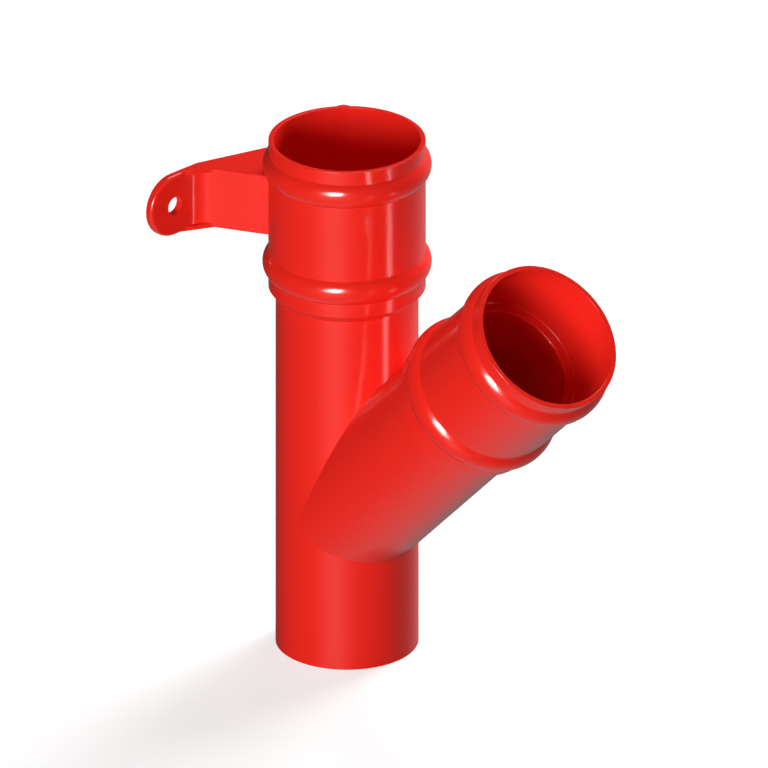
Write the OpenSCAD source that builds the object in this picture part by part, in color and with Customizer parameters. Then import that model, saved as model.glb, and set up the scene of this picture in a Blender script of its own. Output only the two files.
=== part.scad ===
// Downpipe branch: a cast fitting that leads a second rainwater pipe into a downpipe.
// Millimetres. The origin is the centre of the spigot's lower end, +Z runs up the main pipe,
// the arm rises towards -Y, and the wall that the ears are screwed to lies towards +Y.

/* [Pipe] */
// Outside diameter of the pipe and of the spigot at its lower end
pipe_d = 76; // [60:0.5:90]
// Wall thickness of the pipe
pipe_wall = 4.3; // [3:0.1:6]
// Height of the body, from the spigot's end to the lip of the top socket
body_h = 293.6; // [260:0.2:380]

/* [Arm] */
// Angle between the arm and the main pipe
arm_angle = 45; // [40:1:60]
// Height at which the arm's axis meets the main axis
arm_z = 76; // [70:0.5:120]
// Length of the arm from that point to its lip
arm_len = 218.6; // [200:0.2:300]

/* [Sockets] */
// Gap all round between a pipe and the socket that takes it
socket_gap = 1.1; // [0.5:0.1:2]
// Wall thickness of a socket at its lip
socket_wall = 2.75; // [2:0.05:5]
// Depth of a socket from its lip to the shoulder that stops the pipe
socket_depth = 41; // [30:0.5:60]
// Length of the collar's straight outside, down from the lip
collar_len = 85.2; // [80:0.2:120]
// Length of the chamfer that leads from the collar down to the pipe
collar_chamfer = 4.2; // [2:0.1:10]
// Radius on the edges of the lip
lip_round = 0.3; // [0.2:0.1:1]
// Radius on the two corners of the shoulder
shoulder_round = 0.8; // [0.3:0.1:1.5]

/* [Beads] */
// Distance from each end of the collar's straight outside to the middle of the nearer bead
bead_inset = 14.2; // [10:0.1:18]
// Height of a bead where it leaves the collar
bead_h = 13.6; // [8:0.1:18]
// How far a bead stands out from the collar
bead_rise = 3.2; // [1.5:0.1:6]

/* [Ears] */
// Distance between the centres of the two fixing holes
ear_spacing = 122; // [110:0.5:160]
// Diameter of a fixing hole
ear_hole_d = 10; // [6:0.2:13]
// Height of an ear, which is also the width of its round tip
ear_h = 34.8; // [24:0.2:40]
// Thickness of the flat tab that lies on the wall
ear_t = 4.3; // [3:0.1:8]
// Clear space between the back of the pipe and the wall
wall_gap = 34.5; // [28:0.5:60]
// Distance from a hole's centre to the corner between the tab and the arm behind it
ear_tab = 17.6; // [14:0.1:24]
// Angle from the back of the collar to the place where an ear's front face leaves it
ear_spread = 37; // [25:1:50]
// Radius of the inside corner between the tab and the ear's front face
ear_fillet = 11; // [4:0.5:14]
// Distance from that corner to the bend where the ear's back leaves the wall
back_bend = 2; // [1:0.1:12]
// How far the back of the ears stands off the wall at the middle
back_relief = 12; // [4:0.5:14]
// Radius on the front edge of a tab
tab_round = 1.9; // [0.5:0.1:2.5]
// Radius on the front edges of an ear's arm
arm_round = 1.1; // [0.5:0.1:2.5]
// Height of the thin web that spans the inside corner along an ear's top and bottom edges
web_h = 2.4; // [1:0.1:4]
// Distance from the corner to the place where a web leaves the tab
web_tab = 9.8; // [6:0.2:11]
// Distance from the corner to the place where a web leaves the arm
web_arm = 7; // [4:0.2:10]

/* [Hidden] */
$fn = 120;
casting_red = "#ec271d";
// How far a cutting shape runs past the face that it opens
past = 1;
// How far a shape that joins the collar is sunk into it
sunk = 2;

pipe_r = pipe_d / 2;
bore_r = pipe_r - pipe_wall;
socket_r = pipe_r + socket_gap;
collar_r = socket_r + socket_wall;
// A bead is the outer part of a circle whose chord is the bead's height
bead_r = (pow(bead_h / 2, 2) + pow(bead_rise, 2)) / (2 * bead_rise);

ear_z = body_h - collar_len / 2;
wall_y = pipe_r + wall_gap;
tab_y = wall_y - ear_t;
hole_x = ear_spacing / 2;
// Inside corner of the ear, and the place where its front face enters the collar
corner = [hole_x - ear_tab, tab_y];
root = (collar_r - sunk) * [sin(ear_spread), cos(ear_spread)];
front_len = norm(root - corner);
front_dir = (root - corner) / front_len;
// Angle between the tab and the front face
corner_turn = acos(-front_dir[0]);
// A rounding on the arm dips this far behind the faces it joins, to meet them at a clean edge
dip = 0.01;
fillet_centre = corner + (ear_fillet - dip) * [tan(corner_turn / 2), -1];
// The tab and the arm run this far past the corner, into each other
corner_lap = back_bend / 2;

// Quarter of a square left outside a round corner of radius r
module corner_fill(r) {
    difference() {
        square(r);
        translate([r, r]) circle(r);
    }
}

// Half section of a bead, its middle at height z
module bead_section(z) {
    intersection() {
        translate([collar_r + bead_rise - bead_r, z]) circle(bead_r);
        translate([collar_r - socket_wall / 2, z - bead_h]) square([bead_r, 2 * bead_h]);
    }
}

// Half section of the outside: a pipe with a beaded collar at its far end
module outside_section(len) {
    collar_z = len - collar_len;
    polygon([
        [0, 0], [pipe_r, 0], [pipe_r, collar_z - collar_chamfer], [collar_r, collar_z],
        [collar_r, len - lip_round], [collar_r - lip_round, len], [0, len]
    ]);
    translate([collar_r - lip_round, len - lip_round]) circle(lip_round);
    bead_section(len - bead_inset);
    bead_section(collar_z + bead_inset);
}

// Half section of the waterway: the pipe's bore, the shoulder and the socket
module waterway_section(len, start) {
    shoulder_z = len - socket_depth;
    translate([0, start]) square([bore_r, shoulder_z + shoulder_round - start]);
    difference() {
        translate([0, shoulder_z]) square([socket_r, socket_depth + past]);
        translate([socket_r, shoulder_z]) mirror([1, 0]) corner_fill(shoulder_round);
    }
    // rounded edges of the shoulder and of the lip
    translate([bore_r, shoulder_z]) mirror([0, 1]) corner_fill(shoulder_round);
    translate([socket_r, len]) mirror([0, 1]) corner_fill(lip_round);
}

module run_outside(len) {
    rotate_extrude() outside_section(len);
}

module run_waterway(len, start) {
    rotate_extrude() waterway_section(len, start);
}

// The arm's own frame: its axis leaves the main axis at arm_z
module on_arm() {
    translate([0, 0, arm_z]) rotate([arm_angle, 0, 0]) children();
}

// Upright section of an ear, its front face on x = 0, with rounded front edges
module ear_section(depth, height, edge) {
    translate([edge, -height / 2]) square([depth - edge, height]);
    translate([0, edge - height / 2]) square([depth, height - 2 * edge]);
    for (side = [-1, 1]) translate([edge, side * (height / 2 - edge)]) circle(edge);
}

// Point of the plan at a depth behind both the tab's face and the arm's face
function behind_corner(depth) = corner + depth * [-tan(corner_turn / 2), 1];

// Point of the plan on the arm's face, this far from the corner and at a depth behind it
function on_arm_face(reach, depth) =
    corner + reach * front_dir + depth * [front_dir[1], -front_dir[0]];

// Flat tab, from the corner to the hole's centre
module tab_plate() {
    translate([corner[0] - corner_lap, tab_y, 0]) rotate([90, 0, 90])
        linear_extrude(ear_tab + corner_lap) ear_section(ear_t, ear_h, tab_round);
}

// Round tip of the tab, which the fixing hole is drilled through
module tab_tip() {
    translate([hole_x, wall_y, 0]) rotate([90, 0, 0]) rotate(-90) rotate_extrude(angle = 180) {
        square([ear_h / 2, ear_t - tab_round]);
        square([ear_h / 2 - tab_round, ear_t]);
        translate([ear_h / 2 - tab_round, ear_t - tab_round]) circle(tab_round);
    }
}

// Plan of one ear's arm, from the collar to the corner and back to the middle of the back. The
// front face is cut across it
module arm_plan() {
    middle = [0, wall_y - back_relief];
    bend = [corner[0] - back_bend, wall_y];
    polygon([
        [-sunk, root[1]], [corner[0] + corner_lap, root[1]], [corner[0] + corner_lap, wall_y],
        bend, middle + (middle - bend) * sunk / bend[0]
    ]);
}

// Arm that leads from the corner to the collar, with its rounded front face
module ear_arm() {
    start = on_arm_face(-ear_t - back_bend, 0);
    intersection() {
        linear_extrude(ear_h, center = true) arm_plan();
        translate([start[0], start[1], 0]) rotate(atan2(front_dir[1], front_dir[0]))
            rotate([90, 0, 90]) mirror([1, 0, 0])
            linear_extrude(ear_t + back_bend + front_len + collar_r)
            ear_section(hole_x, ear_h + 2 * dip, arm_round);
    }
}

// Plan of the fillet in the inside corner
module fillet_plan() {
    reach = fillet_centre[0] - corner[0];
    depth = ear_t / 2;
    difference() {
        polygon([
            fillet_centre, [fillet_centre[0], tab_y + depth],
            behind_corner(depth), on_arm_face(reach, depth)
        ]);
        translate(fillet_centre) circle(ear_fillet);
    }
}

// Plan of a web: its straight face runs on into the tab and the arm, past their rounded edges
module web_plan() {
    tab_end = corner + [web_tab, 0];
    arm_end = on_arm_face(web_arm, 0);
    rise = (tab_end - arm_end) / (tab_end[1] - arm_end[1]);
    polygon([
        tab_end + rise * (ear_t + tab_round) / 2, behind_corner(ear_t / 2),
        arm_end - rise * arm_round
    ]);
}

module ears() {
    translate([0, 0, ear_z]) for (side = [0, 1]) mirror([side, 0, 0]) {
        tab_plate();
        tab_tip();
        ear_arm();
        linear_extrude(ear_h - web_h, center = true) fillet_plan();
        for (end = [-1, 1]) translate([0, 0, end * (ear_h - web_h) / 2])
            linear_extrude(web_h, center = true) web_plan();
    }
}

module ear_holes() {
    for (side = [-1, 1]) translate([side * hole_x, wall_y + past, ear_z])
        rotate([90, 0, 0]) cylinder(d = ear_hole_d, h = ear_t + 2 * past);
}

module branch_casting() {
    color(casting_red) difference() {
        union() {
            run_outside(body_h);
            on_arm() run_outside(arm_len);
            ears();
        }
        run_waterway(body_h, -past);
        on_arm() run_waterway(arm_len, 0);
        ear_holes();
    }
}

branch_casting();
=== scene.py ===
"""Downpipe branch: a one-piece cast fitting, powder coated red, standing on its spigot.

Metres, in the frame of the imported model: the origin is the centre of the spigot's lower end, +Z
runs up the main pipe, the arm rises towards -Y and the wall that the ears are screwed to lies
towards +Y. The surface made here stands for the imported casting, whose mesh is too coarse for a
glossy finish: it has the same sizes, cut finer.
"""
import math

import bmesh
import bpy
from mathutils import Matrix, Vector


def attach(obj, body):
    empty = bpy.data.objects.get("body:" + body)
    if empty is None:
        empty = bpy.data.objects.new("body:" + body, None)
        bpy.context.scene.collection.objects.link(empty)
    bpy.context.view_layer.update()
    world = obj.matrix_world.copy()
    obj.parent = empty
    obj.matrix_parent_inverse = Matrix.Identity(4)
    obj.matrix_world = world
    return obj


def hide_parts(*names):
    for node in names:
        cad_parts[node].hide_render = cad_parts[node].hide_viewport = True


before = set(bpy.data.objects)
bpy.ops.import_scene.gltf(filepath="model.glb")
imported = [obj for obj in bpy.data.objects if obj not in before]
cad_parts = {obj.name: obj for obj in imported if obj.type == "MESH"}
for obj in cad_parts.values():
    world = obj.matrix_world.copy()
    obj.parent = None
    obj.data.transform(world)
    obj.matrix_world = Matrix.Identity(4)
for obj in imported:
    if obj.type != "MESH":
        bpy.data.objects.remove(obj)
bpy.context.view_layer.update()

MM = 0.001
CASTING = "branch_casting"

# Pipe and arm
PIPE_R = 38 * MM
BORE_R = 33.7 * MM
BODY_H = 293.6 * MM
ARM_ANGLE = math.radians(45)
ARM_Z = 76 * MM
ARM_LEN = 218.6 * MM

# Sockets: a beaded collar outside, a stepped bore inside
SOCKET_R = 39.1 * MM
COLLAR_R = 41.85 * MM
SOCKET_DEPTH = 41 * MM
COLLAR_LEN = 85.2 * MM
COLLAR_CHAMFER = 4.2 * MM
LIP_ROUND = 0.3 * MM
SHOULDER_ROUND = 0.8 * MM
BEAD_INSET = 14.2 * MM
BEAD_H = 13.6 * MM
BEAD_RISE = 3.2 * MM

# Ears
EAR_Z = 251 * MM
EAR_H = 34.8 * MM
EAR_T = 4.3 * MM
EAR_TAB = 17.6 * MM
HOLE_X = 61 * MM
HOLE_R = 5 * MM
WALL_Y = 72.5 * MM
TAB_Y = WALL_Y - EAR_T
EAR_SPREAD = math.radians(37)
EAR_SINK = 2 * MM
EAR_FILLET = 11 * MM
BACK_BEND = 2 * MM
BACK_RELIEF = 12 * MM
TAB_ROUND = 1.9 * MM
ARM_ROUND = 1.1 * MM
WEB_H = 2.4 * MM
WEB_TAB = 9.8 * MM
WEB_ARM = 7 * MM

PAST = 2 * MM  # how far a cutting shape runs past the face that it opens
TURN_STEPS = 256  # faces round a pipe, so that its gloss runs smoothly
ARC_STEP = math.radians(9)  # turn of one face on a small rounding
EDGE_STEPS = 8  # faces across a rounded edge of an ear
SHARP = math.radians(24)  # edges that turn more than this stay crisp
SEAM = 1e-7  # points of one shape that lie closer than this are one point
TOUCHING = 1e-6  # points that lie closer than this touch

# What a face belongs to: an edge between two of these stays crisp
MAIN, ARM, EAR = 0, 1, 2

TO_ARM = Matrix.Translation((0, 0, ARM_Z)) @ Matrix.Rotation(ARM_ANGLE, 4, "X")


# ---------------------------------------------------------------- shapes

def arc(centre, radius, start, end):
    """Points of a section's round corner, from one angle to another, in degrees."""
    start, end = math.radians(start), math.radians(end)
    steps = max(2, round(abs(end - start) / ARC_STEP))
    turns = [start + (end - start) * i / steps for i in range(steps + 1)]
    return [(centre[0] + radius * math.cos(t), centre[1] + radius * math.sin(t)) for t in turns]


def bead_arc(middle):
    """Section of a bead from its lower edge to its upper edge."""
    radius = ((BEAD_H / 2) ** 2 + BEAD_RISE ** 2) / (2 * BEAD_RISE)
    half = math.degrees(math.asin(BEAD_H / 2 / radius))
    return arc((COLLAR_R + BEAD_RISE - radius, middle), radius, -half, half)


def outside_section(length):
    """Outline of a pipe with a beaded collar at its far end, from the axis and back to it."""
    collar = length - COLLAR_LEN
    return [
        (0, 0), (PIPE_R, 0), (PIPE_R, collar - COLLAR_CHAMFER), (COLLAR_R, collar),
        *bead_arc(collar + BEAD_INSET), *bead_arc(length - BEAD_INSET),
        *arc((COLLAR_R - LIP_ROUND, length - LIP_ROUND), LIP_ROUND, 0, 90), (0, length),
    ]


def waterway_section(length, start):
    """Outline of the bore, its shoulder, the socket and the flare of the lip's inner round."""
    shoulder = length - SOCKET_DEPTH
    return [
        (0, start), (BORE_R, start),
        *arc((BORE_R + SHOULDER_ROUND, shoulder - SHOULDER_ROUND), SHOULDER_ROUND, 180, 90),
        *arc((SOCKET_R - SHOULDER_ROUND, shoulder + SHOULDER_ROUND), SHOULDER_ROUND, -90, 0),
        *arc((SOCKET_R + LIP_ROUND, length - LIP_ROUND), LIP_ROUND, 180, 90),
        (SOCKET_R + LIP_ROUND, length + PAST), (0, length + PAST),
    ]


def as_object(bm, name, part=MAIN):
    """Makes an object of a shape: seams closed, faces outwards and marked with their part."""
    bmesh.ops.remove_doubles(bm, verts=bm.verts, dist=SEAM)
    bmesh.ops.recalc_face_normals(bm, faces=bm.faces)
    belongs = bm.faces.layers.int.new("part")
    for face in bm.faces:
        face[belongs] = part
    mesh = bpy.data.meshes.new(name)
    bm.to_mesh(mesh)
    bm.free()
    made = bpy.data.objects.new(name, mesh)
    bpy.context.scene.collection.objects.link(made)
    return made


def turned(name, section, part=MAIN, place=Matrix.Identity(4)):
    """Section turned about the Z axis into a solid, then put in place."""
    bm = bmesh.new()
    points = [bm.verts.new((r, 0, z)) for r, z in section]
    edges = [bm.edges.new(pair) for pair in zip(points, points[1:])]
    bmesh.ops.spin(
        bm, geom=points + edges, cent=(0, 0, 0), axis=(0, 0, 1), angle=math.tau,
        steps=TURN_STEPS, use_merge=True,
    )
    bmesh.ops.transform(bm, matrix=place, verts=bm.verts)
    return as_object(bm, name, part)


def prism(name, outline, depth, round_edges=None, radius=0.0):
    """Flat outline pushed along a vector, with the edges that a test picks rounded."""
    bm = bmesh.new()
    face = bm.faces.new([bm.verts.new(point) for point in outline])
    pushed = bmesh.ops.extrude_face_region(bm, geom=[face])
    moved = [v for v in pushed["geom"] if isinstance(v, bmesh.types.BMVert)]
    bmesh.ops.translate(bm, vec=depth, verts=moved)
    if round_edges:
        bmesh.ops.recalc_face_normals(bm, faces=bm.faces)
        bmesh.ops.bevel(
            bm, geom=[e for e in bm.edges if round_edges(e)], offset=radius,
            offset_type="OFFSET", segments=EDGE_STEPS, profile=0.5, affect="EDGES", material=-1,
            clamp_overlap=False,
        )
    return as_object(bm, name, EAR)


# ---------------------------------------------------------------- ears

CORNER = Vector((HOLE_X - EAR_TAB, TAB_Y))
ROOT = (COLLAR_R - EAR_SINK) * Vector((math.sin(EAR_SPREAD), math.cos(EAR_SPREAD)))
FRONT = (ROOT - CORNER).normalized()
INTO_ARM = Vector((FRONT.y, -FRONT.x))  # from the arm's front face into its metal
CORNER_TURN = math.acos(-FRONT.x)


def behind_corner(depth):
    """Point of the plan that lies this deep behind both the tab's face and the arm's."""
    return CORNER + depth * Vector((-math.tan(CORNER_TURN / 2), 1))


def at_height(points, z, side=1):
    """Points of the plan at one height, on the right (side 1) or mirrored to the left (-1)."""
    return [(side * x, y, z) for x, y in points]


def tab(side):
    """Flat tab with its round tip, standing on the wall."""
    inner = CORNER.x - BACK_BEND / 2
    tip = arc((HOLE_X, EAR_Z), EAR_H / 2, -90, 90)
    outline = [(inner, EAR_Z + EAR_H / 2), (inner, EAR_Z - EAR_H / 2), *tip]
    on_front = TAB_Y + TOUCHING

    def front_edge(edge):
        a, b = (v.co for v in edge.verts)
        return max(a.y, b.y) < on_front and max(abs(a.x), abs(b.x)) > inner + TOUCHING

    standing = [(side * x, WALL_Y, z) for x, z in outline]
    return prism("tab", standing, (0, -EAR_T, 0), front_edge, TAB_ROUND)


def ear_arm(side):
    """Arm from the corner to the collar, solid up to the middle of the back."""
    start = CORNER - FRONT * EAR_T
    plan = [
        ROOT, (-EAR_SINK, ROOT.y), (-EAR_SINK, WALL_Y - BACK_RELIEF), (0, WALL_Y - BACK_RELIEF),
        (CORNER.x - BACK_BEND, WALL_Y), (CORNER.x + BACK_BEND / 2, WALL_Y), start,
    ]

    def front_edge(edge):
        a, b = (v.co for v in edge.verts)
        if abs(a.z - b.z) > TOUCHING:
            return False
        ends = [Vector((side * p.x, p.y)) - CORNER for p in (a, b)]
        return all(abs(end.dot(INTO_ARM)) < TOUCHING for end in ends)

    outline = at_height(plan, EAR_Z - EAR_H / 2, side)
    return prism("ear_arm", outline, (0, 0, EAR_H), front_edge, ARM_ROUND)


def corner_fillet(side):
    """Fillet that fills the inside corner between the tab and the arm."""
    centre = CORNER + EAR_FILLET * Vector((math.tan(CORNER_TURN / 2), -1))
    depth = EAR_T / 2
    on_arm = CORNER + (centre.x - CORNER.x) * FRONT
    plan = [
        *arc(centre, EAR_FILLET, 90, 90 + math.degrees(CORNER_TURN)),
        on_arm + depth * INTO_ARM, behind_corner(depth), (centre.x, TAB_Y + depth),
    ]
    height = EAR_H - WEB_H
    return prism("fillet", at_height(plan, EAR_Z - height / 2, side), (0, 0, height))


def web(side, end):
    """Thin web across the corner, at the top (end 1) or at the bottom (end -1) of an ear."""
    tab_end = CORNER + Vector((WEB_TAB, 0))
    arm_end = CORNER + FRONT * WEB_ARM
    rise = (tab_end - arm_end) / (tab_end.y - arm_end.y)
    plan = [
        tab_end + rise * (EAR_T + TAB_ROUND) / 2, behind_corner(EAR_T / 2),
        arm_end - rise * ARM_ROUND,
    ]
    outline = at_height(plan, EAR_Z + end * (EAR_H / 2 - WEB_H), side)
    return prism("web", outline, (0, 0, end * WEB_H))


# ---------------------------------------------------------------- casting

def combined(first, operation, others):
    """Joins the other shapes to the first, or cuts them from it, and removes them."""
    group = bpy.data.collections.new(operation)
    for other in others:
        group.objects.link(other)
    cut = first.modifiers.new(operation, "BOOLEAN")
    cut.operation = operation
    cut.operand_type = "COLLECTION"
    cut.collection = group
    cut.solver = "EXACT"
    made = bpy.data.meshes.new_from_object(
        first.evaluated_get(bpy.context.evaluated_depsgraph_get()))
    first.modifiers.clear()
    first.data = made
    for other in others:
        bpy.data.objects.remove(other)
    bpy.data.collections.remove(group)


def crisp_where_sharp(piece):
    """Shades round faces smooth and flat faces flat, with crisp edges where they are sharp."""
    bm = bmesh.new()
    bm.from_mesh(piece.data)
    bmesh.ops.remove_doubles(bm, verts=bm.verts, dist=TOUCHING)
    bmesh.ops.dissolve_degenerate(bm, edges=bm.edges, dist=TOUCHING)
    belongs = bm.faces.layers.int["part"]
    for face in bm.faces:
        face.smooth = True
    for edge in bm.edges:
        parts = {face[belongs] for face in edge.link_faces}
        edge.smooth = len(parts) == 1 and edge.calc_face_angle(math.pi) < SHARP
    bm.to_mesh(piece.data)
    bm.free()
    weighted = piece.modifiers.new("flat_faces_lead", "WEIGHTED_NORMAL")
    weighted.keep_sharp = True


def make_casting():
    """The whole fitting in one surface: the outsides joined, then the bores and holes cut."""
    casting = turned("casting_surface", outside_section(BODY_H))
    joined = [turned("arm_outside", outside_section(ARM_LEN), ARM, TO_ARM)]
    for side in (-1, 1):
        joined += [tab(side), ear_arm(side), corner_fillet(side), web(side, 1), web(side, -1)]
    combined(casting, "UNION", joined)
    hole = [(0, -PAST), (HOLE_R, -PAST), (HOLE_R, EAR_T + PAST), (0, EAR_T + PAST)]
    cuts = [
        turned("main_waterway", waterway_section(BODY_H, -PAST)),
        turned("arm_waterway", waterway_section(ARM_LEN, 0), ARM, TO_ARM),
    ]
    for side in (-1, 1):
        place = Matrix.Translation((side * HOLE_X, WALL_Y, EAR_Z))
        place = place @ Matrix.Rotation(math.radians(90), 4, "X")
        cuts.append(turned("ear_hole", hole, EAR, place))
    combined(casting, "DIFFERENCE", cuts)
    crisp_where_sharp(casting)
    return casting


# ---------------------------------------------------------------- materials

def srgb(text):
    """Linear colour of an sRGB hex value."""
    parts = [int(text[i:i + 2], 16) / 255 for i in (1, 3, 5)]
    return [c / 12.92 if c <= 0.04045 else ((c + 0.055) / 1.055) ** 2.4 for c in parts] + [1.0]


def node(tree, kind, settings=None, links=None):
    """Adds a shader node, sets its properties and inputs, and links outputs into its inputs."""
    made = tree.nodes.new(kind)
    for key, value in (settings or {}).items():
        if isinstance(key, str) and hasattr(made, key):
            setattr(made, key, value)
        else:
            made.inputs[key].default_value = value
    for key, output in (links or {}).items():
        tree.links.new(output, made.inputs[key])
    return made


def empty_material(name):
    """Material with no shader nodes yet."""
    material = bpy.data.materials.new(name)
    material.use_nodes = True
    material.node_tree.nodes.clear()
    return material


def powder_coat_red():
    """Red gloss polyester powder coat, baked on cast aluminium.

    The eye gets one even, strong red with a soft-edged gloss. The powder flows out into a faint
    orange peel, and the sand-cast skin beneath lets long reflections waver a little.
    """
    peel_width = 2.4 * MM  # crest to crest of the orange peel
    skin_width = 16 * MM  # waves left by the mould
    material = empty_material("powder_coat_red_gloss")
    tree = material.node_tree
    place = node(tree, "ShaderNodeTexCoord").outputs["Object"]
    skin = node(tree, "ShaderNodeTexNoise", {"Scale": 1 / skin_width, "Detail": 1.0},
                {"Vector": place})
    peel = node(tree, "ShaderNodeTexNoise", {"Scale": 1 / peel_width, "Detail": 2.0},
                {"Vector": place})
    waves = node(tree, "ShaderNodeBump", {"Strength": 0.2, "Distance": 0.1 * MM},
                 {"Height": skin.outputs["Fac"]})
    surface = node(tree, "ShaderNodeBump", {"Strength": 0.2, "Distance": 0.02 * MM},
                   {"Height": peel.outputs["Fac"], "Normal": waves.outputs["Normal"]})
    coat = node(tree, "ShaderNodeBsdfPrincipled", {
        "Base Color": srgb("#ec271d"), "Roughness": 0.17, "IOR": 1.4,
    }, {"Normal": surface.outputs["Normal"]})
    node(tree, "ShaderNodeOutputMaterial", links={"Surface": coat.outputs["BSDF"]})
    return material


def studio_paper():
    """Pale matt paper sweep: white where it is lit, soft grey in the part's shadow.

    Only the camera sees it so pale. What it throws back on the part is that of a dark grey, so
    that the turning edges of the pipes stay dark.
    """
    material = empty_material("studio_paper")
    tree = material.node_tree
    grey = node(tree, "ShaderNodeBsdfDiffuse", {"Color": srgb("#505050")})
    pale = node(tree, "ShaderNodeBsdfDiffuse", {"Color": srgb("#b0b0b0")})
    lift = 0.68  # brings the lit paper up to white
    glow = node(tree, "ShaderNodeEmission", {"Color": srgb("#ffffff"), "Strength": lift})
    lifted = node(tree, "ShaderNodeAddShader", links={0: pale.outputs[0], 1: glow.outputs[0]})
    mix = node(tree, "ShaderNodeMixShader", links={
        "Fac": node(tree, "ShaderNodeLightPath").outputs["Is Camera Ray"],
        1: grey.outputs[0], 2: lifted.outputs[0]})
    node(tree, "ShaderNodeOutputMaterial", links={"Surface": mix.outputs[0]})
    return material


# ---------------------------------------------------------------- studio

CAMERA_AZIMUTH = math.radians(-43.51)  # from -Y, towards the left of the arm
CAMERA_ELEVATION = math.radians(25.36)
MIDDLE = Vector((0, -0.03, 0.15))  # place in the part that the lamps are aimed at


def toward(azimuth, elevation):
    """Unit vector from the part towards a place in the studio."""
    return Vector((
        math.sin(azimuth) * math.cos(elevation), -math.cos(azimuth) * math.cos(elevation),
        math.sin(elevation)))


# Soft glows that the gloss sees in the room: degrees to the right of the camera, degrees above
# level, sharpness and strength. The first is the spill of the key light, the second the right
# half of the room and the third the ground
ROOM_GLOWS = ((-20, -20, 14.0, 1.3), (130, -20, 3.0, 0.35), (0, -90, 4.0, 0.7))
ROOM_DIM = 0.03  # strength of the room between its glows


def studio_world():
    """Dim room, behind which the camera sees white.

    The part has no metal or glass to mirror the white. Its gloss sees the room with its glows,
    which leave the turning edges of the pipes dark on the left.
    """
    world = bpy.data.worlds.new("studio")
    world.use_nodes = True
    tree = world.node_tree
    tree.nodes.clear()
    ray = node(tree, "ShaderNodeLightPath")
    way = node(tree, "ShaderNodeTexCoord").outputs["Object"]
    lit = None  # the first glow is added to the dim room, and each later one to the last
    for turn, rise, sharpness, strength in ROOM_GLOWS:
        middle = toward(CAMERA_AZIMUTH + math.radians(turn), math.radians(rise))
        along = node(tree, "ShaderNodeVectorMath", {"operation": "DOT_PRODUCT", 1: middle},
                     {0: way})
        ahead = node(tree, "ShaderNodeMath", {"operation": "MAXIMUM", 1: 0.0},
                     {0: along.outputs["Value"]})
        glow = node(tree, "ShaderNodeMath", {"operation": "POWER", 1: sharpness},
                    {0: ahead.outputs[0]})
        links = {0: glow.outputs[0]}
        if lit:
            links[2] = lit.outputs[0]
        lit = node(tree, "ShaderNodeMath",
                   {"operation": "MULTIPLY_ADD", 1: strength, 2: ROOM_DIM}, links)
    room = node(tree, "ShaderNodeBackground", {"Color": srgb("#ffffff"), "Strength": ROOM_DIM})
    glows = node(tree, "ShaderNodeBackground", {"Color": srgb("#ffffff")},
                 {"Strength": lit.outputs[0]})
    white = node(tree, "ShaderNodeBackground", {"Color": srgb("#ffffff"), "Strength": 1.0})
    shine = node(tree, "ShaderNodeMixShader", links={
        "Fac": ray.outputs["Is Glossy Ray"], 1: room.outputs[0], 2: glows.outputs[0]})
    seen = node(tree, "ShaderNodeMixShader", links={
        "Fac": ray.outputs["Is Camera Ray"], 1: shine.outputs[0], 2: white.outputs[0]})
    node(tree, "ShaderNodeOutputWorld", links={"Surface": seen.outputs[0]})
    bpy.context.scene.world = world


def softbox(name, turn, rise, distance, size, level, colours=True, shines=True, aim=MIDDLE):
    """Studio lamp: turn is degrees to the right of the camera, rise is degrees above level.

    Level is how bright a white card looks that faces the lamp from the part's place. A lamp
    that doesn't colour shows in the gloss alone, and one that doesn't shine isn't seen there.
    """
    lamp = bpy.data.lights.new(name, "AREA")
    lamp.shape = "ELLIPSE"
    lamp.size, lamp.size_y = size
    lamp.energy = (math.pi * distance) ** 2 * level
    made = bpy.data.objects.new(name, lamp)
    bpy.context.scene.collection.objects.link(made)
    place = toward(CAMERA_AZIMUTH + math.radians(turn), math.radians(rise)) * distance
    made.location = aim + place
    made.rotation_euler = (-place).to_track_quat("-Z", "Y").to_euler()
    made.visible_camera = False
    made.visible_diffuse = colours
    made.visible_glossy = shines
    return made


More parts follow.
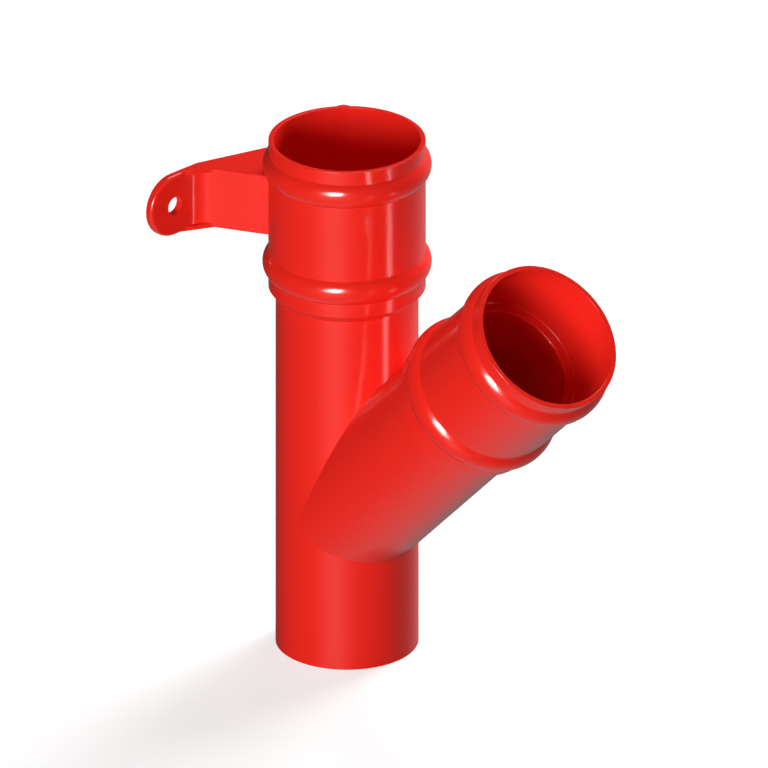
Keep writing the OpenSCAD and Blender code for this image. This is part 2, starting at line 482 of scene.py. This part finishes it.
def pipe_streak(name, turn, level):
    """Strip lamp that gives the main pipe's gloss one upright streak.

    Turn is how far round the pipe the streak lies, in degrees to the right of the camera. The
    lamp stands where the pipe mirrors it to the camera. Its beam is too narrow to reach the arm
    or the inside of the top socket.
    """
    half_beam = math.radians(4)
    distance = 420 * MM
    width, height = 16 * MM, 220 * MM
    middle = Vector((0, 0, 220 * MM))
    aim = middle + toward(CAMERA_AZIMUTH + math.radians(turn), 0) * PIPE_R
    # a narrow beam is stronger along its middle by as much as it loses at its sides
    narrowing = 1 - half_beam / math.tan(half_beam)
    strip = softbox(
        name, turn=2 * turn, rise=-math.degrees(CAMERA_ELEVATION), distance=distance,
        size=(width, height), level=level * narrowing, colours=False, aim=aim)
    strip.data.spread = 2 * half_beam
    return strip


def studio_lamps():
    """Key from the left front, two lamps from behind, and three that only the gloss shows."""
    softbox("key_softbox", turn=-19, rise=8, distance=3, size=(1.3, 1.3), level=1.06)
    softbox("back_right_softbox", turn=141, rise=18, distance=3, size=(1.5, 1.5), level=1.5,
            shines=False)
    softbox("back_top_softbox", turn=150, rise=60, distance=3, size=(1.5, 1.5), level=0.5)
    softbox("bead_shine", turn=-15, rise=14.8, distance=3, size=(0.9, 0.9), level=1.4,
            colours=False)
    pipe_streak("strip_near", turn=15.5, level=0.24)
    side = pipe_streak("strip_side", turn=32.5, level=0.27)
    side.data.use_shadow = False  # the arm stands between this lamp and the pipe


def studio_camera():
    """Parallel view of the part from the left front and from above."""
    frame_width = 0.40765
    back = toward(CAMERA_AZIMUTH, CAMERA_ELEVATION)
    right = Vector((math.cos(CAMERA_AZIMUTH), math.sin(CAMERA_AZIMUTH), 0))
    up = back.cross(right)
    data = bpy.data.cameras.new("studio_camera")
    data.type = "ORTHO"
    data.ortho_scale = frame_width
    camera = bpy.data.objects.new("studio_camera", data)
    bpy.context.scene.collection.objects.link(camera)
    # the frame's centre, measured across and up the view from the spigot's lower end
    across, above, distance = 19.61 * MM, 135.45 * MM, 2.0
    turn = Matrix((right, up, back)).transposed().to_4x4()
    camera.matrix_world = Matrix.Translation(right * across + up * above + back * distance) @ turn
    bpy.context.scene.camera = camera


def make_floor():
    """Paper sweep that the part stands on, wide enough to fill every view."""
    half_width = 20
    bm = bmesh.new()
    bmesh.ops.create_grid(bm, x_segments=1, y_segments=1, size=half_width)
    floor = as_object(bm, "floor")
    floor.data.materials.append(studio_paper())
    floor.visible_glossy = False  # the gloss sees the room's glows instead


casting = make_casting()
casting.data.materials.clear()
casting.data.materials.append(powder_coat_red())
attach(casting, "root")
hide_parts(CASTING)

make_floor()
studio_world()
studio_lamps()
studio_camera()

bpy.context.scene.view_settings.view_transform = "Standard"
